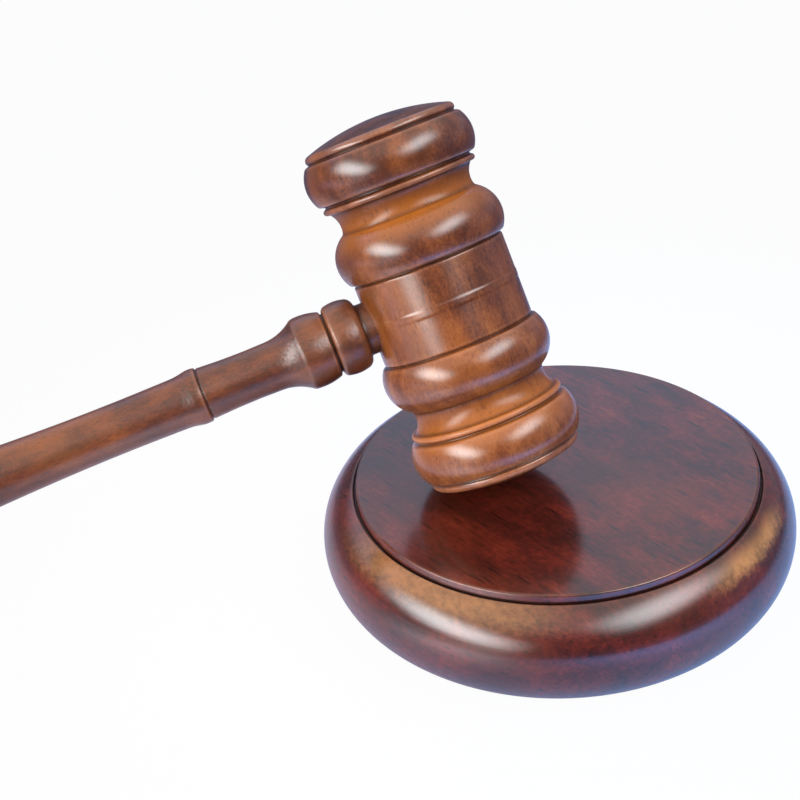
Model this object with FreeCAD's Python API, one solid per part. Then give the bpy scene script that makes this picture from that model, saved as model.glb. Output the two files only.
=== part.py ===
import FreeCAD, Part
import math
import os

# A turned wooden gavel leaning on its round sounding block.
# Millimetres, +Z up, origin on the table under the middle of the block.
# The handle runs out towards -X and its knob comes down to the table.
# Each turned piece has one driving radius, and its beads, coves and rings
# are named as rises and drops from it.

vector = FreeCAD.Vector
full_turn = 360
right_angle = 90
x_axis = vector(1, 0, 0)
y_axis = vector(0, 1, 0)
z_axis = vector(0, 0, 1)

# How the gavel stands
rest_gap = 0.3               # left under the head's rim and under the knob
head_x = -19.2               # middle of the head, seen from above
head_y = 10.8
head_roll_deg = 25.1         # turn of the head about the handle
settling_steps = 12          # rounds of working out the handle's slope
cut_overrun = 4.0

# Sounding block
block_radius = 50.8
block_thickness = 23.8       # flat base to striking face
rim_foot_inset = 5.55        # block's side to the edge of its flat base
rim_width = 8.05             # block's side to the striking disc
disc_rise = 1.42             # striking face over the rim's edge
disc_edge_round = 0.5
disc_groove_width = 0.65
disc_groove_depth = 0.8      # below the rim's upper edge
rim_edge_round = 0.3

# Felt pad under the block
felt_inset = 4.25            # edge of the flat base to the felt
felt_thickness = 1.2

# Head, from its middle towards either end
barrel_radius = 16.0
barrel_half = 8.85           # middle to the first groove
middle_band_half = 0.55
middle_band_slope = 0.4
middle_band_rise = 0.09
groove_half_width = 0.38
groove_depth = 0.5
inner_bead_rise = 1.85       # crown over the barrel
inner_bead_round = 7.15      # section radius
inner_bead_crown = 4.35      # groove to crown
cove_depth = 3.85            # inner bead's crown down to the bottom of the cove
cove_near_run = 1.5          # the cove's corner with the inner bead to its bottom
cove_near_rise = 0.27
cove_run = 3.2               # bottom of the cove to the band
cove_rise = 1.24
band_step = 1.06             # cove's end up to the band's crown
band_width = 1.65
band_edge_drop = 0.55        # crown down to the half-round band's edges
band_groove_depth = 0.25     # below the band's edge
end_bead_rise = 1.65         # crown over the band
end_bead_round = 7.45
end_bead_crown = 4.35        # groove to crown
end_bead_width = 9.0         # groove to groove
lip_drop = 1.95              # end bead's crown down to the lip
lip_round = 1.15
lip_width = 0.35             # groove's edge to the middle of the lip's round
lip_groove_depth = 0.4
dome_round = 47.5

# Bore in the barrel and the tenon glued in it
neck_radius = 5.4
glue_gap = 0.05
tenon_depth = 21.0           # barrel surface to the tenon's end
tenon_end_gap = 0.5
tenon_chamfer = 0.6

# Handle, along its axis from the middle of the head
neck_length = 1.6            # barrel's surface to the collar
collar_crown = 3.7           # start of the collar to its crown
collar_width = 6.65
collar_rise = 2.35           # crown over the neck
collar_round = 8.2
collar_inner_corner = 2.0
collar_outer_corner = 1.2
collar_groove_width = 0.5
collar_groove_depth = 1.55   # below the collar's crown
vase_crown = 4.5             # groove to crown
vase_rise = 2.48             # crown over the shaft
vase_round = 12.4
vase_shoulder = 1.8          # crown to the sharp shoulder
vase_cove_round = 10.3
shaft_radius = 5.17
shaft_waist_depth = 0.07
shaft_waist = 4.6            # end of the cove to the waist
shaft_length = 14.5          # end of the cove to the ring
shaft_end_rise = 0.27        # thickening from the cove to the ring
ring_nick_depth = 0.24
ring_nick_width = 0.25
ring_rise = 0.39             # crown over the shaft's end
ring_edge_drop = 0.11        # crown down to the front edge
ring_crown = 1.0
ring_shoulder_drop = 0.21
ring_shoulder = 2.8
ring_width = 5.8
grip_start_drop = 0.53       # ring's crown down to the grip
grip_waist_depth = 0.11
grip_swell_rise = 3.01       # thickest place over the waist
grip_end_rise = 0.51         # slim end over the waist
grip_length = 191.5

# Ring and ball at the handle's end
end_ring_rise = 1.1          # crown over the grip's end
end_ring_width = 3.6
end_ring_edge = 0.5          # drop from the ring's crown to its edges
end_neck_rise = 0.2          # over the grip's end
end_neck_length = 2.4
knob_rise = 2.1              # ball over the neck it grows from

# The grip's outline between its ends: place along the grip, then where the
# radius lies between the waist and the swell
grip_shares = [(0.061, 0.0), (0.142, 0.07), (0.223, 0.27), (0.335, 0.62),
               (0.49, 1.0), (0.68, 0.86), (0.88, 0.36)]

# Radii that follow from the sizes above
foot_radius = block_radius - rim_foot_inset
felt_radius = foot_radius - felt_inset
disc_radius = block_radius - rim_width
inner_bead_radius = barrel_radius + inner_bead_rise
cove_radius = inner_bead_radius - cove_depth
cove_end_radius = cove_radius + cove_rise
band_radius = cove_end_radius + band_step
end_bead_radius = band_radius + end_bead_rise
lip_radius = end_bead_radius - lip_drop
collar_start = barrel_radius + neck_length
collar_radius = neck_radius + collar_rise
vase_radius = shaft_radius + vase_rise
shaft_end_radius = shaft_radius + shaft_end_rise
ring_radius = shaft_end_radius + ring_rise
grip_start_radius = ring_radius - grip_start_drop
grip_waist_radius = grip_start_radius - grip_waist_depth
grip_end_radius = grip_waist_radius + grip_end_rise
end_ring_radius = grip_end_radius + end_ring_rise
end_neck_radius = grip_end_radius + end_neck_rise
knob_radius = end_neck_radius + knob_rise


def point(radius, height):
    return vector(radius, 0, height)


def circle_point(centre, radius, height):
    """Point of a section circle, on its outer side, at this height."""
    reach = math.sqrt(radius ** 2 - (height - centre.z) ** 2)
    return point(centre.x + reach, height)


def along(centre, towards, distance):
    """Point at a distance from a centre, on the way to another point."""
    return centre + (towards - centre).normalize() * distance


def middle_of_arc(centre, start, end):
    """Point of an arc halfway between its two ends."""
    return along(centre, (start + end) * 0.5, (start - centre).Length)


def straight(start, end):
    return Part.LineSegment(start, end).toShape()


def curved(start, middle, end):
    return Part.Arc(start, middle, end).toShape()


def polyline(points):
    return [straight(start, end) for start, end in zip(points, points[1:])]


def turned(edges):
    """Solid made by turning a closed outline about the Z axis."""
    wire = Part.Wire(Part.__sortEdges__(edges))
    return Part.Face(wire).revolve(vector(), z_axis, full_turn)


def rim_circle(rim_top):
    """Circle through the rim's foot and its upper edge that touches the block's side."""
    low, high, height = rim_foot_inset, block_radius - rim_top.x, rim_top.z
    linear = low * height
    constant = low * (high ** 2 + height ** 2 - low * high)
    middle = constant / (linear + math.sqrt(linear ** 2 + (high - low) * constant))
    radius = (low ** 2 + middle ** 2) / (2 * low)
    return point(block_radius - radius, middle), radius


def sound_block():
    """Half-round rim, V groove and a flat striking disc that stands proud."""
    rim_top = point(disc_radius + disc_groove_width, block_thickness - disc_rise)
    rim_centre, rim_round = rim_circle(rim_top)
    rim_foot = point(foot_radius, 0)
    rim_outer = point(block_radius, rim_centre.z)
    rim_end_radius = rim_top.x + rim_edge_round
    rim_end_height = rim_centre.z + math.sqrt(rim_round ** 2 - (rim_end_radius - rim_centre.x) ** 2)
    rim_end = point(rim_end_radius, rim_end_height)
    rim_edge = point(rim_top.x, rim_top.z - rim_edge_round)
    groove_bottom = point(disc_radius + disc_groove_width / 2, rim_top.z - disc_groove_depth)
    wall_top = point(disc_radius, block_thickness - disc_edge_round)
    disc_edge = point(disc_radius - disc_edge_round, block_thickness)
    edge_centre = point(disc_edge.x, wall_top.z)
    edges = [
        straight(point(0, 0), rim_foot),
        curved(rim_foot, rim_outer, rim_end),
        straight(rim_end, rim_edge),
        straight(rim_edge, groove_bottom),
        straight(groove_bottom, wall_top),
        curved(wall_top, middle_of_arc(edge_centre, wall_top, disc_edge), disc_edge),
        straight(disc_edge, point(0, block_thickness)),
        straight(point(0, block_thickness), point(0, 0)),
    ]
    block = turned(edges)
    block.translate(vector(0, 0, felt_thickness))
    return block


def base_felt():
    return Part.makeCylinder(felt_radius, felt_thickness)


def inner_bead():
    """Centre of the inner bead's section, and the corner where the bead meets the cove."""
    centre = point(inner_bead_radius - inner_bead_round, barrel_half + inner_bead_crown)
    corner_radius = cove_radius + cove_near_rise
    reach = math.sqrt(inner_bead_round ** 2 - (corner_radius - centre.x) ** 2)
    return centre, point(corner_radius, centre.z + reach)


def lip_centre():
    """Centre of the small round at the head's rim."""
    corner = inner_bead()[1]
    band_end = corner.z + cove_near_run + cove_run + band_width
    return point(lip_radius - lip_round, band_end + end_bead_width + groove_half_width + lip_width)


def half_head_outline():
    """Edges from the side of the middle band to the tip of the domed end."""
    inner_centre, corner = inner_bead()
    inner_start = circle_point(inner_centre, inner_bead_round, barrel_half + groove_half_width)
    inner_top = point(inner_bead_radius, inner_centre.z)

    # the cove's two sides meet level at its bottom
    bottom = point(cove_radius, corner.z + cove_near_run)
    near_round = (cove_near_run ** 2 + cove_near_rise ** 2) / (2 * cove_near_rise)
    near_centre = point(cove_radius + near_round, bottom.z)
    near_middle = middle_of_arc(near_centre, corner, bottom)
    cove_round = (cove_run ** 2 + cove_rise ** 2) / (2 * cove_rise)
    cove_centre = point(cove_radius + cove_round, bottom.z)
    cove_end = point(cove_end_radius, bottom.z + cove_run)
    cove_middle = middle_of_arc(cove_centre, bottom, cove_end)

    groove_two = cove_end.z + band_width
    band_start = point(band_radius - band_edge_drop, cove_end.z)
    band_end = point(band_start.x, groove_two - groove_half_width)
    band_top = point(band_radius, (band_start.z + band_end.z) / 2)

    end_centre = point(end_bead_radius - end_bead_round, groove_two + end_bead_crown)
    end_start = circle_point(end_centre, end_bead_round, groove_two + groove_half_width)
    end_top = point(end_bead_radius, end_centre.z)
    groove_three = groove_two + end_bead_width
    end_finish = circle_point(end_centre, end_bead_round, groove_three - groove_half_width)

    lip = lip_centre()
    lip_start = circle_point(lip, lip_round, groove_three + groove_half_width)
    lip_side = point(lip_radius, lip.z)
    dome_height = math.sqrt((dome_round - lip_round) ** 2 - lip.x ** 2)
    dome_centre = point(0, lip.z - dome_height)
    lip_end = along(dome_centre, lip, dome_round)
    tip = point(0, dome_centre.z + dome_round)

    floor_one = point(barrel_radius - groove_depth, barrel_half)
    floor_two = point(band_start.x - band_groove_depth, groove_two)
    floor_three = point(lip_radius - lip_groove_depth, groove_three)
    slope_end = middle_band_half + middle_band_slope
    edges = polyline([point(barrel_radius + middle_band_rise, middle_band_half),
                      point(barrel_radius, slope_end),
                      point(barrel_radius, barrel_half - groove_half_width),
                      floor_one, inner_start])
    edges.append(curved(inner_start, inner_top, corner))
    edges.append(curved(corner, near_middle, bottom))
    edges.append(curved(bottom, cove_middle, cove_end))
    edges.append(straight(cove_end, band_start))
    edges.append(curved(band_start, band_top, band_end))
    edges += polyline([band_end, floor_two, end_start])
    edges.append(curved(end_start, end_top, end_finish))
    edges += polyline([end_finish, floor_three, lip_start])
    edges.append(curved(lip_start, lip_side, lip_end))
    edges.append(curved(lip_end, middle_of_arc(dome_centre, lip_end, tip), tip))
    return edges, tip


def gavel_head():
    """Head with both ends alike, and a blind bore in the side of its barrel."""
    upper, tip = half_head_outline()
    lower = [edge.mirror(vector(), z_axis) for edge in upper]
    band_face = barrel_radius + middle_band_rise
    band = straight(point(band_face, -middle_band_half), point(band_face, middle_band_half))
    head = turned(upper + lower + [band, straight(point(0, -tip.z), tip)])
    bore_floor = tenon_depth + tenon_end_gap - barrel_radius
    bore = Part.makeCylinder(neck_radius + glue_gap, bore_floor + barrel_radius + cut_overrun,
                             vector(bore_floor, 0, 0), -x_axis)
    return stand(head.cut(bore))


def collar_outline():
    """Neck from the tenon's end, collar bead, and the groove behind it."""
    tenon_end = barrel_radius - tenon_depth
    crown = collar_start + collar_crown
    crown_centre = point(collar_radius - collar_round, crown)

    def corner_centre(corner, height):
        reach = math.sqrt((collar_round - corner) ** 2 - (height - crown) ** 2)
        return point(crown_centre.x + reach, height)

    inner = corner_centre(collar_inner_corner, collar_start + collar_inner_corner)
    inner_start = point(inner.x, collar_start)
    inner_end = along(crown_centre, inner, collar_round)
    end = collar_start + collar_width
    outer = corner_centre(collar_outer_corner, end - collar_outer_corner)
    outer_start = along(crown_centre, outer, collar_round)
    outer_end = point(outer.x, end)
    groove = point(collar_radius - collar_groove_depth, end + collar_groove_width / 2)
    edges = polyline([point(0, tenon_end), point(neck_radius - tenon_chamfer, tenon_end),
                      point(neck_radius, tenon_end + tenon_chamfer),
                      point(neck_radius, collar_start), inner_start])
    edges.append(curved(inner_start, middle_of_arc(inner, inner_start, inner_end), inner_end))
    edges.append(curved(inner_end, point(collar_radius, crown), outer_start))
    edges.append(curved(outer_start, middle_of_arc(outer, outer_start, outer_end), outer_end))
    edges.append(straight(outer_end, groove))
    return edges, groove


def vase_outline(groove):
    """Swelling behind the groove, its sharp shoulder, and the cove to the shaft."""
    crown = groove.z + vase_crown
    crown_centre = point(vase_radius - vase_round, crown)
    start = circle_point(crown_centre, vase_round, groove.z + collar_groove_width / 2)
    shoulder = circle_point(crown_centre, vase_round, crown + vase_shoulder)
    cove_centre_radius = shaft_radius + vase_cove_round
    cove_run_out = math.sqrt(vase_cove_round ** 2 - (cove_centre_radius - shoulder.x) ** 2)
    cove_centre = point(cove_centre_radius, shoulder.z + cove_run_out)
    cove_end = point(shaft_radius, cove_centre.z)
    edges = [
        straight(groove, start),
        curved(start, point(vase_radius, crown), shoulder),
        curved(shoulder, middle_of_arc(cove_centre, shoulder, cove_end), cove_end),
    ]
    return edges, cove_end


def shaft_outline(start):
    """Slim shaft with a waist, then the small ring with a nick in front of it."""
    waist = point(shaft_radius - shaft_waist_depth, start.z + shaft_waist)
    end = point(shaft_end_radius, start.z + shaft_length)
    nick = point(shaft_end_radius - ring_nick_depth, end.z + ring_nick_width)
    ring_start = point(ring_radius - ring_edge_drop, nick.z + ring_nick_width)
    crown = point(ring_radius, ring_start.z + ring_crown)
    shoulder = point(ring_radius - ring_shoulder_drop, ring_start.z + ring_shoulder)
    ring_end = point(grip_start_radius, ring_start.z + ring_width)
    run = (shoulder + ring_end) * 0.5
    hollow = point(run.x - (shoulder.x - ring_end.x) / 4, run.z)
    edges = [
        curved(start, waist, end),
        straight(end, nick),
        straight(nick, ring_start),
        curved(ring_start, crown, shoulder),
        curved(shoulder, hollow, ring_end),
    ]
    return edges, ring_end


def grip_outline(start):
    """Long grip: a waist, a swell for the hand, and a slim end."""
    points = [start]
    for place, share in grip_shares:
        points.append(point(grip_waist_radius + share * grip_swell_rise,
                            start.z + place * grip_length))
    end = point(grip_end_radius, start.z + grip_length)
    points.append(end)
    curve = Part.BSplineCurve()
    curve.interpolate(points)
    return [curve.toShape()], end


def knob_outline(start):
    """Ring, short neck and the ball that the handle rests on."""
    ring_low = end_ring_radius - end_ring_edge
    ring_end = start.z + end_ring_width
    neck_end = ring_end + end_neck_length
    ball_sink = math.sqrt(knob_radius ** 2 - end_neck_radius ** 2)
    ball = point(0, neck_end + ball_sink)
    tip = point(0, ball.z + knob_radius)
    edges = [straight(start, point(ring_low, start.z))]
    edges.append(curved(point(ring_low, start.z),
                        point(end_ring_radius, start.z + end_ring_width / 2),
                        point(ring_low, ring_end)))
    edges += polyline([point(ring_low, ring_end), point(end_neck_radius, ring_end),
                       point(end_neck_radius, neck_end)])
    edges.append(curved(point(end_neck_radius, neck_end), point(knob_radius, ball.z), tip))
    return edges, ball, tip


def handle_outline():
    """All edges of the handle's section, with the ball's centre."""
    collar, groove = collar_outline()
    vase, cove_end = vase_outline(groove)
    shaft, ring_end = shaft_outline(cove_end)
    grip, grip_end = grip_outline(ring_end)
    knob, ball, tip = knob_outline(grip_end)
    spine = straight(tip, point(0, barrel_radius - tenon_depth))
    return collar + vase + shaft + grip + knob + [spine], ball


def gavel_handle():
    edges, ball = handle_outline()
    handle = turned(edges)
    handle.rotate(vector(), y_axis, -right_angle)
    return stand(handle)


def head_height(slope):
    """Height of the head's middle when its rim stands on the striking disc."""
    upright = math.cos(math.radians(head_roll_deg)) * math.cos(slope)
    lip = lip_centre()
    below = lip.z * upright + lip.x * math.sqrt(1 - upright ** 2) + lip_round
    return felt_thickness + block_thickness + rest_gap + below


def handle_slope():
    """Slope at which the knob comes down to the table."""
    edges, ball = handle_outline()
    slope = 0
    for step in range(settling_steps):
        fall = head_height(slope) - knob_radius - rest_gap
        slope = math.asin(fall / ball.z)
    return slope


def stand(piece):
    """Bring a piece from the head's own frame to where the gavel leans."""
    slope = handle_slope()
    piece.rotate(vector(), x_axis, -head_roll_deg)
    piece.rotate(vector(), y_axis, -math.degrees(slope))
    piece.translate(vector(head_x, head_y, head_height(slope)))
    return piece


pieces = {
    "sound_block": sound_block,
    "base_felt": base_felt,
    "gavel_head": gavel_head,
    "gavel_handle": gavel_handle,
}

os.makedirs("parts", exist_ok=True)
for name, make in pieces.items():
    solid = make()
    solid.exportStep("parts/" + name + ".step")
    print(name, "valid", solid.isValid(), "solids", len(solid.Solids),
          "volume", round(solid.Volume, 1))
slope_deg = math.degrees(handle_slope())
print("handle slope", round(slope_deg, 2), "deg; head centre height",
      round(head_height(math.radians(slope_deg)), 2))
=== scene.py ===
import math

import bmesh
import bpy
import numpy as np
from mathutils import Matrix, Vector


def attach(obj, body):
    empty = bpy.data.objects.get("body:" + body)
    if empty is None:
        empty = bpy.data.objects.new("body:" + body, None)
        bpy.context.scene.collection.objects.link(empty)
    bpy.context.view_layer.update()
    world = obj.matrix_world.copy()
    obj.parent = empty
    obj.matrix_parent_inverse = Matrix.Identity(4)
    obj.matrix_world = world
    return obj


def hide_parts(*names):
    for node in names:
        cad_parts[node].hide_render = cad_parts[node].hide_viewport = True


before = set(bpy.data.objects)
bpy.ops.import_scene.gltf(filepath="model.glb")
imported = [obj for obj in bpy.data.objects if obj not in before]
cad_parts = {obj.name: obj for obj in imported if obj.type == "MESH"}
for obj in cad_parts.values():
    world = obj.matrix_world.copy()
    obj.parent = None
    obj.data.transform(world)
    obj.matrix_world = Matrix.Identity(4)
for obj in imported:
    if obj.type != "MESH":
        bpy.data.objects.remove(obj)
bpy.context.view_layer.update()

# A turned and lacquered gavel leaning on its sounding block.
# Sizes are written in millimetres and turned into metres where they are used.
mm = 0.001
smooth = {"interpolation_type": "SMOOTHSTEP"}  # a range with no kink at either end
print("frame loaded:", ", ".join(sorted(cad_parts)))


def linearColour(hexCode, strength=1.0):
    # sRGB hex to the linear values that Blender's sockets take
    channels = [int(hexCode[i:i + 2], 16) / 255 for i in (1, 3, 5)]
    linear = [c / 12.92 if c <= 0.04045 else ((c + 0.055) / 1.055) ** 2.4 for c in channels]
    return [c * strength for c in linear] + [1]


def addNode(tree, kind, settings={}, links={}):
    # a setting is a property of the node or, failing that, the value of one of its inputs
    node = tree.nodes.new(kind)
    for key, value in settings.items():
        if isinstance(key, str) and hasattr(node, key):
            setattr(node, key, value)
        else:
            node.inputs[key].default_value = value
    for key, source in links.items():
        tree.links.new(source, node.inputs[key])
    return node


def newMaterial(name):
    material = bpy.data.materials.new(name)
    material.use_nodes = True
    material.node_tree.nodes.clear()
    return material, material.node_tree


def setRamp(node, stops):
    ramp = node.color_ramp
    while len(ramp.elements) > 1:
        ramp.elements.remove(ramp.elements[-1])
    for i, (place, colour) in enumerate(stops):
        element = ramp.elements[0] if i == 0 else ramp.elements.new(place)
        element.position = place
        element.color = linearColour(colour)


def directionOf(azimuth, elevation):
    # azimuth 0 is +Y and 90 is +X, in degrees; elevation is above the horizon
    a, e = math.radians(azimuth), math.radians(elevation)
    return Vector((math.sin(a) * math.cos(e), math.cos(a) * math.cos(e), math.sin(e)))


# How the gavel leans, as in the part's source
lean = {
    "handleSlope": 12.4891,   # degrees, down from the head to the table
    "headRoll": 25.1,         # degrees, turn of the head about the handle
    "headX": -19.2,
    "headY": 10.8,
    "headHeight": 64.7531,
}


def headPlace():
    # the head's own frame: Z along the head and -X along the handle
    middle = Vector((lean["headX"], lean["headY"], lean["headHeight"])) * mm
    return (Matrix.Translation(middle)
            @ Matrix.Rotation(math.radians(-lean["handleSlope"]), 4, "Y")
            @ Matrix.Rotation(math.radians(-lean["headRoll"]), 4, "X"))


def handlePlace():
    # the same frame turned so that Z runs out along the handle
    return headPlace() @ Matrix.Rotation(math.radians(-90), 4, "Y")


# Turning: each wooden piece is turned anew from the outline that its node shows
# along the seam, with finer steps and with its corners rubbed down a little.
turning = {
    "cornerTurn": 12.0,       # degrees; a sharper turn in the node's outline is a corner
    "curveStep": 3.0,         # degrees of turn from point to point along a curve
    "longestStep": 6.0,       # mm
    "longRatio": 3.0,         # a stretch this much longer than the next one is straight
    "cornerSteps": 4,
    "beside": [0.1, 0.35, 0.8],  # mm from an edge, where a flat stretch gets points
    "cornerShare": 0.4,       # of a stretch, the most that a corner takes
    "reach": 0.38,            # mm, how far along the outline a groove or an edge is felt
    "onSeam": 0.02,           # mm, how far a point of the seam may lie off its plane
    "onAxis": 0.01,           # mm, nearer than this a point is on the axis
}
# segments go once round the axis, and cornerRound is in mm along the outline
turnedPieces = {
    "turned_block": {"node": "sound_block", "body": "block", "slot": "block_wood",
                     "place": Matrix.Identity(4), "segments": 256, "cornerRound": 0.22},
    "turned_head": {"node": "gavel_head", "body": "gavel", "slot": "head_wood",
                    "place": headPlace(), "segments": 208, "cornerRound": 0.32},
    "turned_handle": {"node": "gavel_handle", "body": "gavel", "slot": "handle_wood",
                      "place": handlePlace(), "segments": 128, "cornerRound": 0.5},
}
# Blind hole for the handle's tenon, along the X of the head's own frame
bore = {"radius": 5.45, "floor": 5.5, "start": -20.0, "sides": 96,
        "edgeTurn": 40.0}         # degrees, a sharper turn stays a hard edge


def seamOutline(node, place):
    # radius and height of the points on the half plane where the node's seam lies,
    # in order from the lower end of the axis to the upper one
    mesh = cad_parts[node].data
    flat = np.empty(len(mesh.vertices) * 3, np.float32)
    mesh.vertices.foreach_get("co", flat)
    points, copyOf = np.unique(flat.reshape(-1, 3), axis=0, return_inverse=True)
    turn = np.array(place.inverted())
    local = (points @ turn[:3, :3].T + turn[:3, 3]) / mm
    onSeam = (np.abs(local[:, 1]) < turning["onSeam"]) & (local[:, 0] > -turning["onSeam"])
    ends = np.empty(len(mesh.edges) * 2, np.int32)
    mesh.edges.foreach_get("vertices", ends)
    near = {}
    for a, b in copyOf.reshape(-1)[ends].reshape(-1, 2):
        if onSeam[a] and onSeam[b] and a != b:
            near.setdefault(a, set()).add(b)
            near.setdefault(b, set()).add(a)
    longest, seen = [], set()
    for start in sorted(near, key=lambda k: (len(near[k]), k)):
        chain = []
        here = start
        while here is not None and here not in seen:
            seen.add(here)
            chain.append(here)
            here = next((k for k in sorted(near[here]) if k not in seen), None)
        if len(chain) > len(longest):
            longest = chain
    outline = local[longest][:, [0, 2]]
    if outline[0, 1] > outline[-1, 1]:
        outline = outline[::-1]
    outline[:, 0] = np.maximum(outline[:, 0], 0)
    # a flat end has no point on the axis
    lower, upper = outline[0], outline[-1]
    if lower[0] > turning["onAxis"]:
        outline = np.vstack([[0, lower[1]], outline])
    if upper[0] > turning["onAxis"]:
        outline = np.vstack([outline, [0, upper[1]]])
    return outline


def curvedStretches(outline):
    # the outline cut at its corners, each stretch with points added along its curves
    steps = np.diff(outline, axis=0)
    lengths = np.hypot(steps[:, 0], steps[:, 1])
    headings = np.unwrap(np.arctan2(steps[:, 0], steps[:, 1]))
    turns = np.diff(headings)
    count = len(steps)
    start, end = [None] * count, [None] * count
    corners = [0]
    for i in range(1, count):
        before, after = lengths[i - 1], lengths[i]
        if abs(turns[i - 1]) > math.radians(turning["cornerTurn"]):
            corners.append(i)
        elif before > turning["longRatio"] * after:
            end[i - 1] = start[i] = headings[i - 1]
        elif after > turning["longRatio"] * before:
            end[i - 1] = start[i] = headings[i]
        else:
            end[i - 1] = start[i] = (headings[i - 1] * after + headings[i] * before) / (before + after)
    corners.append(count)
    stretches = []
    for first, last in zip(corners, corners[1:]):
        points = [outline[first]]
        for k in range(first, last):
            # a stretch that ends in a corner leaves it as an arc would
            a = start[k] if start[k] is not None else end[k]
            b = end[k] if end[k] is not None else start[k]
            if a is None:
                a = b = headings[k]
            elif start[k] is None:
                a = 2 * headings[k] - b
            elif end[k] is None:
                b = 2 * headings[k] - a
            pieces = max(1, math.ceil(abs(b - a) / math.radians(turning["curveStep"])),
                         math.ceil(lengths[k] / turning["longestStep"]))
            out = lengths[k] * np.array([math.sin(a), math.cos(a)])
            back = lengths[k] * np.array([math.sin(b), math.cos(b)])
            shares = set(((np.arange(pieces) + 1) / pieces).tolist())
            if lengths[k] > 2 * turning["beside"][-1]:
                # what is felt at an edge mustn't spread over the whole flat
                shares |= {d / lengths[k] for d in turning["beside"]}
                shares |= {1 - d / lengths[k] for d in turning["beside"]}
            for t in sorted(shares):
                points.append((2 * t ** 3 - 3 * t ** 2 + 1) * outline[k]
                              + (t ** 3 - 2 * t ** 2 + t) * out
                              + (3 * t ** 2 - 2 * t ** 3) * outline[k + 1] + (t ** 3 - t ** 2) * back)
        stretches.append(np.array(points))
    return stretches


def trimmed(points, cutStart, cutEnd):
    # the stretch without its two ends, kept flat for a little beside each cut
    along = np.concatenate([[0], np.cumsum(np.hypot(*np.diff(points, axis=0).T))])
    low, high = cutStart, along[-1] - cutEnd
    beside = [distance for distance in turning["beside"] if distance < (high - low) / 2]
    places = [low, high] + [low + d for d in beside if cutStart] + [high - d for d in beside if cutEnd]
    clear = turning["beside"][0] * 1.5
    inner = along[(along > low + clear) & (along < high - clear)]
    places = np.unique(np.round(np.concatenate([places, inner]), 4))
    return np.stack([np.interp(places, along, points[:, k]) for k in (0, 1)], 1)


def finishedOutline(outline, cornerRound):
    stretches = curvedStretches(outline)
    lengths = [np.hypot(*np.diff(s, axis=0).T).sum() for s in stretches]
    most = turning["cornerShare"]
    cuts = [min(cornerRound, most * a, most * b) for a, b in zip(lengths, lengths[1:])]
    cuts = [0] + cuts + [0]
    kept = [trimmed(s, cuts[i], cuts[i + 1]) for i, s in enumerate(stretches)]
    points = [kept[0]]
    for stretch, following in zip(stretches, kept[1:]):
        corner, before, after = stretch[-1], points[-1][-1], following[0]
        for t in (np.arange(turning["cornerSteps"] - 1) + 1) / turning["cornerSteps"]:
            points.append([(1 - t) ** 2 * before + 2 * t * (1 - t) * corner + t ** 2 * after])
        points.append(following)
    return np.vstack(points)


def sharpness(outline):
    # how much the outline turns about each point: above 0 on an edge, below 0 in a groove
    steps = np.diff(outline, axis=0)
    along = np.concatenate([[0], np.cumsum(np.hypot(steps[:, 0], steps[:, 1]))])
    turns = -np.diff(np.unwrap(np.arctan2(steps[:, 0], steps[:, 1])))
    gaps = (along[:, None] - along[None, 1:-1]) / turning["reach"]
    return (np.exp(-gaps ** 2 / 2) * turns).sum(1)


def turnedMesh(name, outline, segments):
    # quads about Z between the two points on the axis
    angles = 2 * math.pi * np.arange(segments) / segments
    rings = [np.stack([r * np.cos(angles), r * np.sin(angles), np.full(segments, h)], 1)
             for r, h in outline[1:-1]]
    poles = [[0, 0, outline[0, 1]], [0, 0, outline[-1, 1]]]
    points = np.vstack(rings + [poles]) * mm
    last, low = (len(rings) - 1) * segments, len(points) - 2
    faces = []
    for i in range(segments):
        j = (i + 1) % segments
        faces.append((low, j, i))
        faces.append((low + 1, last + i, last + j))
        for k in range(0, last, segments):
            faces.append((k + i, k + j, k + segments + j, k + segments + i))
    mesh = bpy.data.meshes.new(name)
    mesh.from_pydata(points.tolist(), [], faces)
    return mesh


def cutBore(piece):
    cutter = bpy.data.objects.new("bore_cutter", bpy.data.meshes.new("bore_cutter"))
    bpy.context.scene.collection.objects.link(cutter)
    depth = bore["floor"] - bore["start"]
    middle = (bore["floor"] + bore["start"]) / 2
    lying = (Matrix.Translation(Vector((middle, 0, 0)) * mm)
             @ Matrix.Rotation(math.radians(90), 4, "Y"))
    build = bmesh.new()
    bmesh.ops.create_cone(build, cap_ends=True, segments=bore["sides"], radius1=bore["radius"] * mm,
                          radius2=bore["radius"] * mm, depth=depth * mm, matrix=lying)
    build.to_mesh(cutter.data)
    build.free()
    cut = piece.modifiers.new("bore", "BOOLEAN")
    cut.operation, cut.solver, cut.object = "DIFFERENCE", "EXACT", cutter
    bpy.context.view_layer.update()
    seen = piece.evaluated_get(bpy.context.evaluated_depsgraph_get())
    mesh = bpy.data.meshes.new_from_object(seen)
    piece.modifiers.clear()
    piece.data = mesh
    bpy.data.objects.remove(cutter)
    mesh.shade_smooth()
    mesh.set_sharp_from_angle(angle=math.radians(bore["edgeTurn"]))


def markHollowsAndEdges(mesh, outline):
    # stain pools in the hollows and is rubbed thin on the edges; the same marks also paint shade into
    # the hollows and highlights onto the edges
    sharp = sharpness(outline)
    flat = np.empty(len(mesh.vertices) * 3, np.float32)
    mesh.vertices.foreach_get("co", flat)
    points = flat.reshape(-1, 3) / mm
    places = np.stack([np.hypot(points[:, 0], points[:, 1]), points[:, 2]], 1)
    # in parts, because the whole table of distances would be large
    nearest = np.concatenate([
        np.argmin(((part[:, None] - outline[None]) ** 2).sum(2), axis=1)
        for part in np.array_split(places, 16)])
    for name, values in (("hollow", np.clip(-sharp, 0, 1)), ("edge", np.clip(sharp, 0, 1))):
        layer = mesh.attributes.new(name, "FLOAT", "POINT")
        layer.data.foreach_set("value", values[nearest].astype(np.float32))


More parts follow.
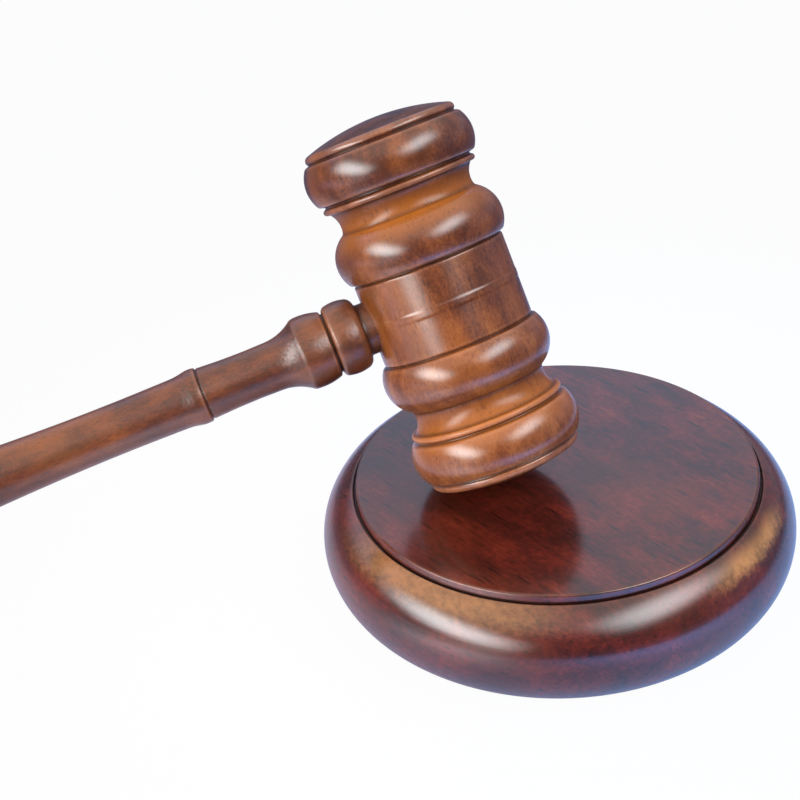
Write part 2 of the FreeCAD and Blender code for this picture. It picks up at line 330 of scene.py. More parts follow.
def turnPiece(name, piece, material):
    outline = finishedOutline(seamOutline(piece["node"], piece["place"]), piece["cornerRound"])
    wood = bpy.data.objects.new(name, turnedMesh(name, outline, piece["segments"]))
    bpy.context.scene.collection.objects.link(wood)
    wood.data.shade_smooth()
    if piece["node"] == "gavel_head":
        cutBore(wood)
    markHollowsAndEdges(wood.data, outline)
    wood.data.transform(piece["place"])
    wood.data.materials.clear()
    wood.data.materials.append(material)
    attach(wood, piece["body"])
    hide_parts(piece["node"])
    print(name, "turned:", len(outline), "points in the outline,", len(wood.data.polygons), "faces")


# Red-brown hardwood, turned, stained and sprayed with clear lacquer. To the eye: warm orange where light
# falls, and painted light on the coves, deep red-brown in shade, stain pooled in the grooves with
# painted shade there nearly black, short dark flecks along the fibres, pale rubbed edges with painted
# highlights, and soft white reflections lying on the coat. A pair of levels runs from where a thing
# starts to where it is full.
headLook = {
    "name": "stainedBeechLacquered",
    "fibreTurn": (0, 0, 0),   # radians, from the axis of turning to the fibres
    "cut": (14.0, -31.0, 6.0),  # mm, from the tree's heart to the piece
    # mm across and along the fibres, then the noise's detail and roughness
    "patterns": {
        "clouds": (4.5, 8.1, 3.0, 0.6),      # cloudiness of the stain
        "patches": (11.25, 18.0, 2.0, 0.5),  # where the stain took thinly
        "fibres": (0.5, 6.0, 3.0, 0.6),
        "speckle": (0.5, 0.7, 3.0, 0.7),     # mottling of the stain on the open pores
        "wander": (18.0, 60.0, 2.0, 0.5),    # how the rings and the tool's marks stray
        "crowding": (3.0, 9.0, 2.0, 0.5),    # where flecks stand close together
    },
    "ringWidth": 1.6,         # mm between growth rings
    "ringWander": 6.0,        # mm
    "toolStep": 0.7,          # mm between the lathe tool's faint marks
    "toolWander": 0.8,        # steps
    "weights": {"rings": 0.1, "fibres": 0.14, "clouds": 0.44, "speckle": 0.32, "toolMarks": 0.03},
    "endDarker": 0.0022,      # per mm along the axis, how the tone falls towards the top
    "spread": (0.3, 0.69),    # tones that the stain's scale runs over
    "stain": [(0.0, "#2c130b"), (0.35, "#522713"), (0.6, "#6e3a1d"), (1.0, "#90562a")],
    # this colour is both where the stain took thinly and the painted light on the coves
    "warmthAndCoveLight": "#ae641f",      # where the stain took thinly
    "warmShare": 0.2,
    "warmPatches": (0.42, 0.68),
    # painted light on the coves, drawn paler where light falls on them: mm along the axis, the lower
    # one's band lying further out
    "paintedCoveLight": {"shift": 2.5, "middle": 22.0, "half": 2.6, "fade": 5.0, "strength": 0.66},
    "fleckColour": "#2a110a",
    "fleckStrength": 0.5,
    # mm from fleck to fleck across and along; real pores are under 0.1 mm wide and
    # wouldn't show, so these are drawn coarser
    "fleckSpacing": (0.54, 2.88),
    "fleckReach": (0.15, 0.39),    # share of the spacing, from a fleck's core to its edge
    "fleckCrowds": (0.38, 0.62),
    # pale wear on the edges, and painted highlights on them where they catch the light
    "paleWearAndHighlightColour": "#b87c5c",
    "paleWearAndHighlightStrength": 0.45,
    "wornAndLitEdgeRange": (0.1, 0.9),
    "worn": [],
    # stain pooled in the grooves, with painted shade there
    "poolAndShadeColour": "#220f09",
    "poolAndShadeStrength": 0.55,
    "pooledAndShadedHollows": (0.02, 0.8),
    "bump": 0.015,            # mm, depth of fibres and flecks under the lacquer
    "woodToolMarks": 0.3,     # how much of the tool's marks the wood itself shows
    "roughness": (0.4, 0.6),
    "specular": 0.1,          # how much the wood itself shines under the coat
    "coatRoughness": 0.21,
    "coatBump": 0.02,         # mm, waviness left in the coat
    "coatGrain": 1.5,         # mm, how wide the waves are
    "coatToolMarks": 0.5,     # how much of the tool's marks the coat still shows
    "coatIor": 1.55,
    # mm from the middle: the coves, where the coat is thin
    "thinCoat": {"inner": (18.2, 19.7), "outer": (24.4, 24.9), "weight": 0.4},
}

# The same wood, darker, under a coat that went on drier: its fine pebbles break the
# highlights up into grains
handleLook = dict(headLook)
handleLook.update({
    "name": "stainedBeechHandleLacquered",
    "cut": (22.0, 9.0, 70.0),
    "stain": [(0.0, "#230e06"), (0.35, "#411d0b"), (0.6, "#5a2a10"), (1.0, "#763c15")],
    "warmShare": 0.15,
    "endDarker": 0.0,
    "paintedCoveLight": None,
    "fleckSpacing": (0.54, 2.34),
    "coatRoughness": 0.33,
    "coatBump": 0.16,
    "coatGrain": 0.7,
    "coatToolMarks": 0.05,
    "thinCoat": None,
})

# Mahogany-stained hardwood: darker and redder, with slanting dark streaks, and lighter brown in two
# places on its rim
blockLook = dict(headLook)
blockLook.update({
    "name": "mahoganyStainedLacquered",
    "fibreTurn": (math.radians(90), math.radians(26), 0),  # fibres lie flat, slanting across
    "cut": (40.0, 60.0, 15.0),
    "patterns": dict(headLook["patterns"], **{
        "clouds": (9.0, 16.2, 3.0, 0.6),
        "patches": (22.5, 36.0, 2.0, 0.5),
        "fibres": (0.5, 10.0, 3.0, 0.6),
        "speckle": (1.1, 1.54, 3.0, 0.7),
    }),
    "ringWidth": 3.0,
    "ringWander": 10.0,
    "weights": {"rings": 0.1, "fibres": 0.18, "clouds": 0.46, "speckle": 0.26, "toolMarks": 0.02},
    "endDarker": 0.0,
    "spread": (0.35, 0.65),
    "stain": [(0.0, "#180606"), (0.4, "#39110b"), (0.7, "#521910"), (1.0, "#6a2a1a")],
    "warmthAndCoveLight": "#6c3016",
    "paintedCoveLight": None,
    "fleckColour": "#120605",
    "fleckStrength": 0.7,
    "fleckSpacing": (1.08, 8.1),
    "worn": [
        # lighter brown patches: degrees from +X towards +Y, and mm above the table
        {"angle": -142, "reach": 44, "low": 18.8, "high": 22.2, "top": 25.0, "strength": 0.45},
        {"angle": -50, "reach": 23, "low": 18.6, "high": 20.6, "top": 21.6, "strength": 0.75},
    ],
    "wornRadius": (43.1, 43.5),   # mm, only outside the groove
    "wornRagged": {"patches": 2.5, "speckle": 1.5},  # mm, how far its edges stray
    "wornFade": (1.5, -0.5),      # mm above the top, from where it starts to where it is full
    "wornMottle": (0.34, 0.62),
    "wornSolid": 0.55,            # how much of it is worn evenly
    # pale wear on the edges and the rim's patches, with painted highlights on the edges
    "paleWearAndHighlightColour": "#b2804c",
    "paleWearAndHighlightStrength": 0.06,
    # stain pooled in the groove, with painted shade there nearly black
    "poolAndShadeColour": "#0c0605",
    "poolAndShadeStrength": 0.85,
    "coatRoughness": 0.17,
    "thinCoat": None,
})


def weighedSum(tree, *terms):
    # the sum of each source times its weight
    total = None
    for source, weight in terms:
        links = {0: source} if total is None else {0: source, 2: total}
        total = addNode(tree, "ShaderNodeMath", {"operation": "MULTIPLY_ADD", 1: weight, 2: 0.0},
                        links).outputs[0]
    return total


def woodPatterns(tree, look, wood):
    # noise whose grains measure real millimetres across and along the fibres
    patterns = {}
    for name, (across, along, detail, roughness) in look["patterns"].items():
        scaled = addNode(tree, "ShaderNodeVectorMath",
                         {"operation": "DIVIDE", 1: (across, across, along)}, {0: wood})
        patterns[name] = addNode(tree, "ShaderNodeTexNoise",
                                 {"Scale": 1.0, "Detail": detail, "Roughness": roughness},
                                 {"Vector": scaled.outputs[0]}).outputs[0]
    # growth rings: uneven bands of tone by the distance from the tree's heart
    flat = addNode(tree, "ShaderNodeVectorMath", {"operation": "MULTIPLY", 1: (1, 1, 0)}, {0: wood})
    depth = addNode(tree, "ShaderNodeVectorMath", {"operation": "LENGTH"}, {0: flat.outputs[0]})
    place = weighedSum(tree, (depth.outputs["Value"], 1 / look["ringWidth"]),
                       (patterns["wander"], look["ringWander"] / look["ringWidth"]))
    patterns["rings"] = addNode(tree, "ShaderNodeTexNoise",
                                {"noise_dimensions": "1D", "Scale": 1.0, "Detail": 2.0},
                                {"W": place}).outputs[0]
    return patterns


def toolMarks(tree, look, along, wander):
    # the tool's marks run round the piece, so they change along its axis alone
    place = weighedSum(tree, (along, 1 / look["toolStep"]), (wander, look["toolWander"]))
    return addNode(tree, "ShaderNodeTexNoise",
                   {"noise_dimensions": "1D", "Scale": 1.0, "Detail": 2.0}, {"W": place}).outputs[0]


def thinStainAndCoveLight(tree, look, along, patterns):
    # where the stain took thinly, and painted light that draws the coves paler
    low, high = look["warmPatches"]
    warm = addNode(tree, "ShaderNodeMapRange",
                   {**smooth, "From Min": low, "From Max": high, "To Max": look["warmShare"]},
                   {"Value": patterns["patches"]}).outputs[0]
    bands = look["paintedCoveLight"]
    if not bands:
        return warm
    # painted light: the coves drawn paler, as light falls on them
    shifted = addNode(tree, "ShaderNodeMath", {"operation": "ADD", 1: bands["shift"]}, {0: along})
    height = addNode(tree, "ShaderNodeMath", {"operation": "ABSOLUTE"}, {0: shifted.outputs[0]})
    off = addNode(tree, "ShaderNodeMath", {"operation": "SUBTRACT", 1: bands["middle"]},
                  {0: height.outputs[0]})
    away = addNode(tree, "ShaderNodeMath", {"operation": "ABSOLUTE"}, {0: off.outputs[0]})
    ragged = weighedSum(tree, (away.outputs[0], 1.0), (patterns["clouds"], bands["fade"]),
                        (patterns["speckle"], bands["fade"] / 2))
    # the two noises are about a half each, which the fade's whole width allows for
    litCove = addNode(tree, "ShaderNodeMapRange",
                     {**smooth, "From Min": bands["half"],
                      "From Max": bands["half"] + bands["fade"] * 3 / 2,
                      "To Min": bands["strength"], "To Max": 0.0}, {"Value": ragged})
    return addNode(tree, "ShaderNodeMath", {"operation": "MAXIMUM"},
                   {0: warm, 1: litCove.outputs[0]}).outputs[0]


def darkFlecks(tree, look, wood, crowding):
    # short dark pores along the fibres, crowded in some places and missing in others
    across, along = look["fleckSpacing"]
    scaled = addNode(tree, "ShaderNodeVectorMath",
                     {"operation": "DIVIDE", 1: (across, across, along)}, {0: wood})
    cells = addNode(tree, "ShaderNodeTexVoronoi", {"feature": "F1", "Scale": 1.0},
                    {"Vector": scaled.outputs[0]})
    core, edge = look["fleckReach"]
    near = addNode(tree, "ShaderNodeMapRange",
                   {**smooth, "From Min": core, "From Max": edge, "To Min": 1.0, "To Max": 0.0},
                   {"Value": cells.outputs["Distance"]})
    few, many = look["fleckCrowds"]
    crowd = addNode(tree, "ShaderNodeMapRange",
                    {**smooth, "From Min": few, "From Max": many, "To Max": look["fleckStrength"]},
                    {"Value": crowding})
    return addNode(tree, "ShaderNodeMath", {"operation": "MULTIPLY"},
                   {0: near.outputs[0], 1: crowd.outputs[0]}).outputs[0]


def wornPlace(tree, look, grip, own, along, patterns):
    # a lighter patch: outside a radius, to one side of the piece and between two heights
    flat = addNode(tree, "ShaderNodeVectorMath", {"operation": "MULTIPLY", 1: (1, 1, 0)}, {0: own})
    away = addNode(tree, "ShaderNodeVectorMath", {"operation": "LENGTH"}, {0: flat.outputs[0]})
    unit = addNode(tree, "ShaderNodeVectorMath", {"operation": "NORMALIZE"}, {0: flat.outputs[0]})
    facing = addNode(tree, "ShaderNodeVectorMath",
                     {"operation": "DOT_PRODUCT", 1: directionOf(90 - grip["angle"], 0)},
                     {0: unit.outputs[0]})
    ragged = look["wornRagged"]
    height = weighedSum(tree, (along, 1.0), *((patterns[name], ragged[name]) for name in ragged))
    raised = sum(ragged.values()) / 2  # as each noise is about a half
    top = grip["top"] + raised
    ranges = (
        (away.outputs["Value"], *look["wornRadius"], grip["strength"]),
        (facing.outputs["Value"], math.cos(math.radians(grip["reach"])), 1.0, 1.0),
        (height, grip["low"] + raised, grip["high"] + raised, 1.0),
        (height, top + look["wornFade"][0], top + look["wornFade"][1], 1.0),
    )
    onRim, beside, above, below = (
        addNode(tree, "ShaderNodeMapRange",
                {**smooth, "From Min": start, "From Max": end, "To Max": strength},
                {"Value": source}).outputs[0]
        for source, start, end, strength in ranges)
    mixed = weighedSum(tree, (patterns["clouds"], 0.5), (patterns["speckle"], 0.5))
    low, high = look["wornMottle"]
    spots = addNode(tree, "ShaderNodeMapRange", {**smooth, "From Min": low, "From Max": high},
                    {"Value": mixed})
    mottled = weighedSum(tree, (spots.outputs[0], 1 - look["wornSolid"]), (beside, look["wornSolid"]))
    worn = onRim
    for share in (beside, above, below, mottled):
        worn = addNode(tree, "ShaderNodeMath", {"operation": "MULTIPLY"}, {0: worn, 1: share}).outputs[0]
    return worn


def paleWearAndHighlights(tree, look, own, along, patterns):
    # edges rubbed down in finishing, also painted lighter as highlights where they catch the light, and
    # the lighter patches on the rim
    edge = addNode(tree, "ShaderNodeAttribute", {"attribute_name": "edge"})
    low, high = look["wornAndLitEdgeRange"]
    paleEdge = addNode(tree, "ShaderNodeMapRange",
                      {**smooth, "From Min": low, "From Max": high, "To Max": look["paleWearAndHighlightStrength"]},
                      {"Value": edge.outputs["Fac"]})
    # the edges: pale wear and a painted highlight together
    rubbed = addNode(tree, "ShaderNodeMath", {"operation": "MULTIPLY"},
                     {0: paleEdge.outputs[0], 1: patterns["clouds"]}).outputs[0]
    for grip in look["worn"]:
        rubbed = addNode(tree, "ShaderNodeMath", {"operation": "MAXIMUM"},
                         {0: rubbed, 1: wornPlace(tree, look, grip, own, along, patterns)}).outputs[0]
    return rubbed


def pooledStainAndShade(tree, look):
    # stain pooled in the hollows, and painted shade where grooves and creases lie in shadow
    hollow = addNode(tree, "ShaderNodeAttribute", {"attribute_name": "hollow"})
    low, high = look["pooledAndShadedHollows"]
    return addNode(tree, "ShaderNodeMapRange",
                   {**smooth, "From Min": low, "From Max": high, "To Max": look["poolAndShadeStrength"]},
                   {"Value": hollow.outputs["Fac"]}).outputs[0]


def thinnedCoat(tree, thin, along):
    # the coat is whole inside and outside the coves and thin in them
    middle = addNode(tree, "ShaderNodeMath", {"operation": "ABSOLUTE"}, {0: along})
    sides = [addNode(tree, "ShaderNodeMapRange", {**smooth, "From Min": start, "From Max": end},
                     {"Value": middle.outputs[0]}).outputs[0]
             for start, end in (reversed(thin["inner"]), thin["outer"])]
    whole = addNode(tree, "ShaderNodeMath", {"operation": "MAXIMUM"}, {0: sides[0], 1: sides[1]})
    return addNode(tree, "ShaderNodeMapRange", {"To Min": thin["weight"]},
                   {"Value": whole.outputs[0]}).outputs[0]


def lacqueredWood(look, place):
    material, tree = newMaterial(look["name"])
    coordinates = addNode(tree, "ShaderNodeTexCoord")
    # millimetres in the frame that the piece was turned in, Z along its axis
    own = addNode(tree, "ShaderNodeMapping",
                  {"vector_type": "TEXTURE", "Location": place.to_translation(),
                   "Rotation": place.to_euler(), "Scale": (mm, mm, mm)},
                  {"Vector": coordinates.outputs["Object"]}).outputs[0]
    along = addNode(tree, "ShaderNodeSeparateXYZ", {}, {0: own}).outputs["Z"]
    # the same turned so that Z runs along the fibres, the tree's heart at the origin
    wood = addNode(tree, "ShaderNodeMapping",
                   {"vector_type": "POINT", "Rotation": look["fibreTurn"], "Location": look["cut"]},
                   {"Vector": own}).outputs[0]
    patterns = woodPatterns(tree, look, wood)
    patterns["toolMarks"] = toolMarks(tree, look, along, patterns["wander"])

    weights = look["weights"]
    tone = weighedSum(tree, *((patterns[name], weights[name]) for name in weights),
                      (along, -look["endDarker"]))
    low, high = (edge * sum(weights.values()) for edge in look["spread"])
    level = addNode(tree, "ShaderNodeMapRange", {"From Min": low, "From Max": high}, {"Value": tone})
    stain = addNode(tree, "ShaderNodeValToRGB", {}, {"Fac": level.outputs[0]})
    setRamp(stain, look["stain"])
    flecks = darkFlecks(tree, look, wood, patterns["crowding"])
    colour = stain.outputs["Color"]
    # each layer of colour lies over the one before
    # the layers: thin stain and painted light on the coves, dark flecks, pale wear and painted
    # highlights on the edges, pooled stain and painted shade in the hollows
    for share, hexCode in (
            (thinStainAndCoveLight(tree, look, along, patterns), look["warmthAndCoveLight"]),
            (flecks, look["fleckColour"]),
            (paleWearAndHighlights(tree, look, own, along, patterns), look["paleWearAndHighlightColour"]),
            (pooledStainAndShade(tree, look), look["poolAndShadeColour"])):
        colour = addNode(tree, "ShaderNodeMix", {"data_type": "RGBA", 7: linearColour(hexCode)},
                         {0: share, 6: colour}).outputs[2]

    grainBump = addNode(tree, "ShaderNodeBump", {"Strength": 0.5, "Distance": look["bump"] * mm},
                        {"Height": weighedSum(tree, (patterns["fibres"], 1.0), (flecks, -1.0),
                                              (patterns["toolMarks"], look["woodToolMarks"]))})
    # the sprayed coat flows over the grain and keeps a faint waviness
    grain = look["coatGrain"]
    scaled = addNode(tree, "ShaderNodeVectorMath", {"operation": "DIVIDE", 1: (grain, grain, grain)},
                     {0: own})
    flow = addNode(tree, "ShaderNodeTexNoise", {"Scale": 1.0, "Detail": 3.0},
                   {"Vector": scaled.outputs[0]})
    coatBump = addNode(tree, "ShaderNodeBump", {"Strength": 0.5, "Distance": look["coatBump"] * mm},
                       {"Height": weighedSum(tree, (flow.outputs[0], 1.0),
                                             (patterns["toolMarks"], look["coatToolMarks"]))})
    dullness = addNode(tree, "ShaderNodeMapRange",
                       {"To Min": look["roughness"][0], "To Max": look["roughness"][1]},
                       {"Value": patterns["clouds"]})
    shader = addNode(tree, "ShaderNodeBsdfPrincipled",
                     {"IOR": 1.5, "Specular IOR Level": look["specular"], "Coat Weight": 1.0,
                      "Coat Roughness": look["coatRoughness"], "Coat IOR": look["coatIor"]},
                     {"Base Color": colour, "Roughness": dullness.outputs[0],
                      "Normal": grainBump.outputs[0], "Coat Normal": coatBump.outputs[0]})
    if look["thinCoat"]:
        tree.links.new(thinnedCoat(tree, look["thinCoat"], along), shader.inputs["Coat Weight"])
    addNode(tree, "ShaderNodeOutputMaterial", {}, {"Surface": shader.outputs[0]})
    return material


woods = {"turned_head": headLook, "turned_handle": handleLook, "turned_block": blockLook}
for name, look in woods.items():
    turnPiece(name, turnedPieces[name], lacqueredWood(look, turnedPieces[name]["place"]))


# Wool felt glued under the block: matt, fuzzy, dark green
feltLook = {
    "name": "woolFeltGreen",
    "colours": [(0.3, "#16301f"), (0.7, "#2c5238")],
    "fibre": 0.35,            # mm; drawn coarser than the real 0.02 mm fibre, which wouldn't show
    "fuzz": 0.15,             # mm, depth of the nap
    "radius": 41.0,
    "thickness": 1.2,
    "edgeRound": 0.35,
    "edgeSteps": 6,
    "rings": (0.3, 0.6, 0.9),    # shares of the radius with points, and where the edge starts
    "raggedness": 0.12,       # mm, how far the cut edge wanders inwards
    "waves": ((7, 1), (19, 0), (43, 2)),  # times round the disc, and where each one starts
    "segments": 240,
}


def woolFelt(look):
    material, tree = newMaterial(look["name"])
    coordinates = addNode(tree, "ShaderNodeTexCoord")
    scaled = addNode(tree, "ShaderNodeVectorMath",
                     {"operation": "SCALE", "Scale": 1 / (look["fibre"] * mm)},
                     {0: coordinates.outputs["Object"]})
    fibres = addNode(tree, "ShaderNodeTexNoise", {"Scale": 1.0, "Detail": 5.0, "Distortion": 1.5},
                     {"Vector": scaled.outputs[0]})
    colour = addNode(tree, "ShaderNodeValToRGB", {}, {"Fac": fibres.outputs[0]})
    setRamp(colour, look["colours"])
    bump = addNode(tree, "ShaderNodeBump", {"Strength": 0.8, "Distance": look["fuzz"] * mm},
                   {"Height": fibres.outputs[0]})
    shader = addNode(tree, "ShaderNodeBsdfPrincipled",
                     {"Roughness": 0.95, "Sheen Weight": 0.4, "Sheen Roughness": 0.6,
                      "Specular IOR Level": 0.15},
                     {"Base Color": colour.outputs["Color"], "Normal": bump.outputs[0]})
    addNode(tree, "ShaderNodeOutputMaterial", {}, {"Surface": shader.outputs[0]})
    return material


def feltDisc(look):
    # an outline of radius and height, turned about Z, its edge wandering a little
    r, h, e = look["radius"], look["thickness"], look["edgeRound"]
    outline = [(r * share, 0) for share in look["rings"]]
    for step in range(look["edgeSteps"] + 1):
        turn = math.radians(-90 + 180 * step / look["edgeSteps"])
        outline.append((r - e + e * math.cos(turn), h / 2 + (h / 2) * math.sin(turn)))
    outline += [(r * share, h) for share in reversed(look["rings"])]
    points, faces = [(0, 0, 0), (0, 0, h * mm)], []
    count, n = len(outline), look["segments"]
    waves, inner = look["waves"], look["rings"][-1]
    for i in range(n):
        angle = 2 * math.pi * i / n
        wander = sum(math.sin(k * angle + start) for k, start in waves) / (2 * len(waves)) + 0.5
        for radius, height in outline:
            edge = max(0, (radius / r - inner) / (1 - inner))
            inwards = radius - edge * wander * look["raggedness"]
            points.append((inwards * math.cos(angle) * mm, inwards * math.sin(angle) * mm, height * mm))
    for i in range(n):
        a, b = 2 + i * count, 2 + (i + 1) % n * count
        faces.append((0, b, a))
        faces.append((1, a + count - 1, b + count - 1))
        for k in range(count - 1):
            faces.append((a + k, b + k, b + k + 1, a + k + 1))
    mesh = bpy.data.meshes.new("felt_pad")
    mesh.from_pydata(points, [], faces)
    mesh.shade_smooth()
    pad = bpy.data.objects.new("felt_pad", mesh)
    bpy.context.scene.collection.objects.link(pad)
    pad.data.materials.append(woolFelt(look))
    return pad


feltPad = feltDisc(feltLook)
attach(feltPad, "block")
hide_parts("base_felt")
print("felt pad made")


# Studio: a pale table that the camera sees as white, a pale backdrop behind, a dim room
# in front with a paler wall on the right, two large lamps behind diffusers with soft
# edges, and cards lying on the table that throw light back
studio = {
    "floorSize": 8.0,         # metres
    # the table's colours, with a pool of light painted on them that falls off away from the block
    "floorLeft": "#c8c0d2",
    "floorRight": "#8eb6f4",
    "floorSides": (-0.09, 0.03),  # metres along X, from the left colour to the right one
    "floorFar": "#343a58",
    "floorNear": (0.07, 0.2),    # metres from the block, where the light on the table falls off
    "floorRoughness": 0.45,
    "floorWhite": 0.97,       # how much of the camera's view of the floor is plain white
    "front": ("#46444a", 1.0),   # colour and strength of the room
    "right": ("#a6a8c0", 1.0),
    "rightMiddle": 78,        # degrees, azimuth of the wall on the right
    "rightReach": (0.45, 0.95),  # cosines of the angle from there, where it starts and is full
    "behind": ("#a8d2ff", 1.7),
    # the backdrop's ends: the azimuth inwards from each, and how softly it fades out there
    "behindEnds": ((-55, 0.12), (0, 0.5)),
    "behindRise": (0.16, 0.5),   # sines of the elevation, from where it is dim to where it is full
    "behindLow": 0.05,        # how bright it is down by the table
    "ceiling": ("#f6f0ec", 1.35),
    "ceilingRise": (0.4, 0.8),
    "lampAim": (-20, 0, 40),
    "lampFade": (0.05, 0.5),  # shares of a lamp's width from its middle, from full to nothing
    "lamps": [
        # degrees, metres and radiance at the middle
        {"azimuth": -113, "elevation": 18, "distance": 1.1, "width": 1.9, "height": 0.72,
         "roll": -14, "radiance": 14.0, "colour": "#ffffff"},
        {"azimuth": 141, "elevation": 45, "distance": 1.3, "width": 1.9, "height": 0.95,
         "roll": 12, "radiance": 9.0, "colour": "#fbfcff"},
    ],
    "cardHeight": 0.2,        # mm above the table
    "cards": [
        # metres, and radiance at the middle
        {"place": (-0.34, 0.01), "width": 0.3, "height": 0.34, "turn": 0, "radiance": 1.1,
         "colour": "#bab2f4"},
        {"place": (-0.085, -0.062), "width": 0.1, "height": 0.1, "turn": 45, "radiance": 1.6,
         "colour": "#f2ecff"},
        {"place": (0.03, -0.118), "width": 0.26, "height": 0.14, "turn": 20, "radiance": 2.7,
         "colour": "#70aaff"},
    ],
}


def makeFloor():
    half = studio["floorSize"] / 2
    mesh = bpy.data.meshes.new("floor")
    mesh.from_pydata([(-half, -half, 0), (half, -half, 0), (half, half, 0), (-half, half, 0)], [],
                     [(0, 1, 2, 3)])
    floor = bpy.data.objects.new("floor", mesh)
    bpy.context.scene.collection.objects.link(floor)
    material, tree = newMaterial("tableWithPaintedLightPool")
    # painted light: warmer on the left, bluer on the right, and darker away from the block, where the
    # light on the table falls off
    coordinates = addNode(tree, "ShaderNodeTexCoord")
    parts = addNode(tree, "ShaderNodeSeparateXYZ", {}, {0: coordinates.outputs["Object"]})
    away = addNode(tree, "ShaderNodeVectorMath", {"operation": "LENGTH"},
                   {0: coordinates.outputs["Object"]})
    left, right = studio["floorSides"]
    side = addNode(tree, "ShaderNodeMapRange", {**smooth, "From Min": left, "From Max": right},
                   {"Value": parts.outputs["X"]})
    near = addNode(tree, "ShaderNodeMix",
                   {"data_type": "RGBA", 6: linearColour(studio["floorLeft"]),
                    7: linearColour(studio["floorRight"])}, {0: side.outputs[0]})
    start, end = studio["floorNear"]
    fall = addNode(tree, "ShaderNodeMapRange", {**smooth, "From Min": start, "From Max": end},
                   {"Value": away.outputs["Value"]})
    colour = addNode(tree, "ShaderNodeMix", {"data_type": "RGBA", 7: linearColour(studio["floorFar"])},
                     {0: fall.outputs[0], 6: near.outputs[2]})
    painted = addNode(tree, "ShaderNodeBsdfPrincipled", {"Roughness": studio["floorRoughness"]},
                      {"Base Color": colour.outputs[2]})
    white = addNode(tree, "ShaderNodeEmission", {"Color": (1, 1, 1, 1), "Strength": 1.0})
    path = addNode(tree, "ShaderNodeLightPath")
    share = addNode(tree, "ShaderNodeMath", {"operation": "MULTIPLY", 1: studio["floorWhite"]},
                    {0: path.outputs["Is Camera Ray"]})
    seen = addNode(tree, "ShaderNodeMixShader", {},
                   {0: share.outputs[0], 1: painted.outputs[0], 2: white.outputs[0]})
    addNode(tree, "ShaderNodeOutputMaterial", {}, {"Surface": seen.outputs[0]})
    mesh.materials.append(material)


def makeWorld():
    world = bpy.data.worlds.new("studio")
    bpy.context.scene.world = world
    world.use_nodes = True
    tree = world.node_tree
    tree.nodes.clear()
    coordinates = addNode(tree, "ShaderNodeTexCoord")
    parts = addNode(tree, "ShaderNodeSeparateXYZ", {}, {0: coordinates.outputs["Generated"]})
    # the backdrop ends on a line to the right, and fades away to the left
    ends = []
    for azimuth, fade in studio["behindEnds"]:
        facing = addNode(tree, "ShaderNodeVectorMath",
                         {"operation": "DOT_PRODUCT", 1: directionOf(azimuth, 0)},
                         {0: coordinates.outputs["Generated"]})
        ends.append(addNode(tree, "ShaderNodeMapRange", {**smooth, "From Max": fade},
                            {"Value": facing.outputs["Value"]}).outputs[0])
    dim, full = studio["behindRise"]
    upwards = addNode(tree, "ShaderNodeMapRange",
                      {**smooth, "From Min": dim, "From Max": full, "To Min": studio["behindLow"]},
                      {"Value": parts.outputs["Z"]})
    across = addNode(tree, "ShaderNodeMath", {"operation": "MULTIPLY"}, {0: ends[0], 1: ends[1]})
    behind = addNode(tree, "ShaderNodeMath", {"operation": "MULTIPLY"},
                     {0: across.outputs[0], 1: upwards.outputs[0]})
    low, high = studio["ceilingRise"]
    overhead = addNode(tree, "ShaderNodeMapRange", {**smooth, "From Min": low, "From Max": high},
                       {"Value": parts.outputs["Z"]})
    rightwards = addNode(tree, "ShaderNodeVectorMath",
                         {"operation": "DOT_PRODUCT", 1: directionOf(studio["rightMiddle"], 0)},
                         {0: coordinates.outputs["Generated"]})
    start, end = studio["rightReach"]
    right = addNode(tree, "ShaderNodeMapRange", {**smooth, "From Min": start, "From Max": end},
                    {"Value": rightwards.outputs["Value"]})
    walls = addNode(tree, "ShaderNodeMix",
                    {"data_type": "RGBA", 6: linearColour(*studio["front"]),
                     7: linearColour(*studio["right"])}, {0: right.outputs[0]})
    colour = walls.outputs[2]
    for share, name in ((behind, "behind"), (overhead, "ceiling")):
        colour = addNode(tree, "ShaderNodeMix", {"data_type": "RGBA", 7: linearColour(*studio[name])},
                         {0: share.outputs[0], 6: colour}).outputs[2]
    ambient = addNode(tree, "ShaderNodeBackground", {"Strength": 1.0}, {"Color": colour})
    white = addNode(tree, "ShaderNodeBackground", {"Color": (1, 1, 1, 1), "Strength": 1.0})
    path = addNode(tree, "ShaderNodeLightPath")
    seen = addNode(tree, "ShaderNodeMixShader", {},
                   {0: path.outputs["Is Camera Ray"], 1: ambient.outputs[0], 2: white.outputs[0]})
    addNode(tree, "ShaderNodeOutputWorld", {}, {"Surface": seen.outputs[0]})


def softenEdges(light):
    # brightest in the middle and fading to nothing at the diffuser's edges
    light.use_nodes = True
    tree = light.node_tree
    tree.nodes.clear()
    spot = addNode(tree, "ShaderNodeNewGeometry")
    middle = addNode(tree, "ShaderNodeVectorMath", {"operation": "SUBTRACT", 1: (0.5, 0.5, 0)},
                     {0: spot.outputs["Parametric"]})
    away = addNode(tree, "ShaderNodeVectorMath", {"operation": "ABSOLUTE"}, {0: middle.outputs[0]})
    parts = addNode(tree, "ShaderNodeSeparateXYZ", {}, {0: away.outputs[0]})
    full, nothing = studio["lampFade"]
    fades = [addNode(tree, "ShaderNodeMapRange",
                     {**smooth, "From Min": full, "From Max": nothing, "To Min": 1.0, "To Max": 0.0},
                     {"Value": parts.outputs[side]}).outputs[0] for side in ("X", "Y")]
    fade = addNode(tree, "ShaderNodeMath", {"operation": "MULTIPLY"}, {0: fades[0], 1: fades[1]})
    glow = addNode(tree, "ShaderNodeEmission", {}, {"Strength": fade.outputs[0]})
    addNode(tree, "ShaderNodeOutputLight", {}, {"Surface": glow.outputs[0]})


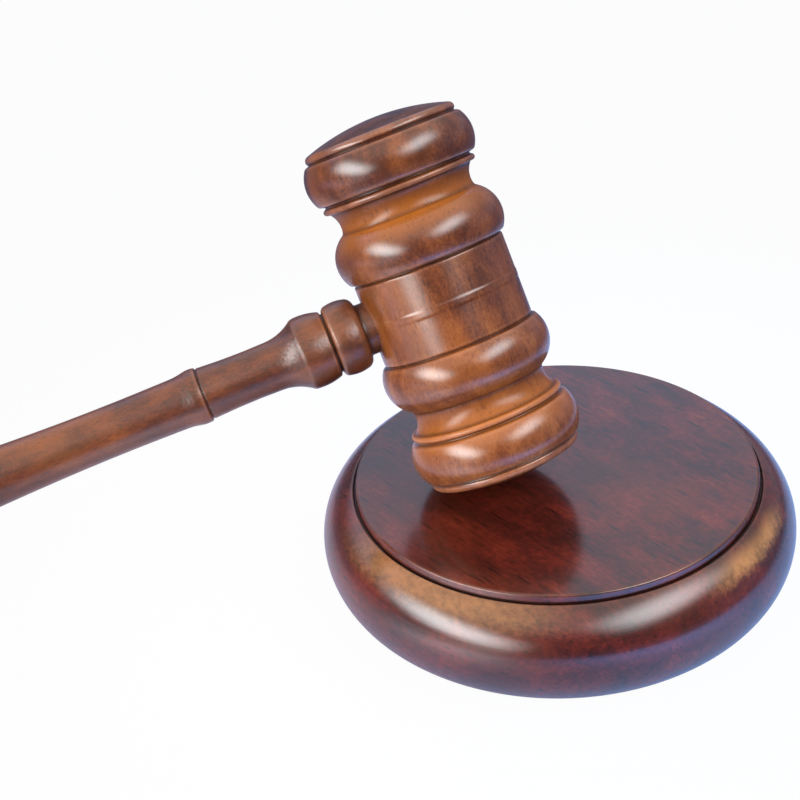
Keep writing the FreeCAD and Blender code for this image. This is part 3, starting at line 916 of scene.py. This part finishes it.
def makeLight(name, lamp, place):
    light = bpy.data.lights.new(name, "AREA")
    light.shape = "RECTANGLE"
    light.size, light.size_y = lamp["width"], lamp["height"]
    # a lamp of power P over area A has a radiance of P / (pi A)
    light.energy = lamp["radiance"] * math.pi * lamp["width"] * lamp["height"]
    light.color = linearColour(lamp["colour"])[:3]
    softenEdges(light)
    holder = bpy.data.objects.new(name, light)
    holder.visible_camera = False
    bpy.context.scene.collection.objects.link(holder)
    holder.matrix_world = place


def lampPlace(lamp):
    towards = directionOf(lamp["azimuth"], lamp["elevation"])
    aim = Vector(studio["lampAim"]) * mm
    return (Matrix.Translation(aim + towards * lamp["distance"])
            @ towards.to_track_quat("Z", "Y").to_matrix().to_4x4()
            @ Matrix.Rotation(math.radians(lamp["roll"]), 4, "Z"))


def cardPlace(card):
    return (Matrix.Translation((*card["place"], studio["cardHeight"] * mm))
            @ Matrix.Rotation(math.radians(card["turn"]), 4, "Z")
            @ Matrix.Rotation(math.radians(180), 4, "X"))


makeFloor()
makeWorld()
for index, lamp in enumerate(studio["lamps"]):
    makeLight("soft_lamp_%d" % index, lamp, lampPlace(lamp))
for index, card in enumerate(studio["cards"]):
    makeLight("card_%d" % index, card, cardPlace(card))
print("studio made")


# Camera where the photographer stood, fitted to the outlines in the photo
camera = {
    "place": (-85.79, -268.71, 221.08),
    "heading": 11.28,         # degrees from +Y towards +X
    "down": 32.03,
    "roll": -5.34,
    "lens": 72.0,             # mm, on a sensor 36 mm wide
    "sensor": 36.0,
    "clip": (0.01, 20),       # metres
}


def makeCamera():
    data = bpy.data.cameras.new("camera")
    data.lens, data.sensor_width = camera["lens"], camera["sensor"]
    data.clip_start, data.clip_end = camera["clip"]
    eye = bpy.data.objects.new("camera", data)
    bpy.context.scene.collection.objects.link(eye)
    eye.matrix_world = (Matrix.Translation(Vector(camera["place"]) * mm)
                        @ Matrix.Rotation(math.radians(-camera["heading"]), 4, "Z")
                        @ Matrix.Rotation(math.radians(90 - camera["down"]), 4, "X")
                        @ Matrix.Rotation(math.radians(camera["roll"]), 4, "Z"))
    bpy.context.scene.camera = eye


makeCamera()
bpy.context.scene.view_settings.view_transform = "Standard"
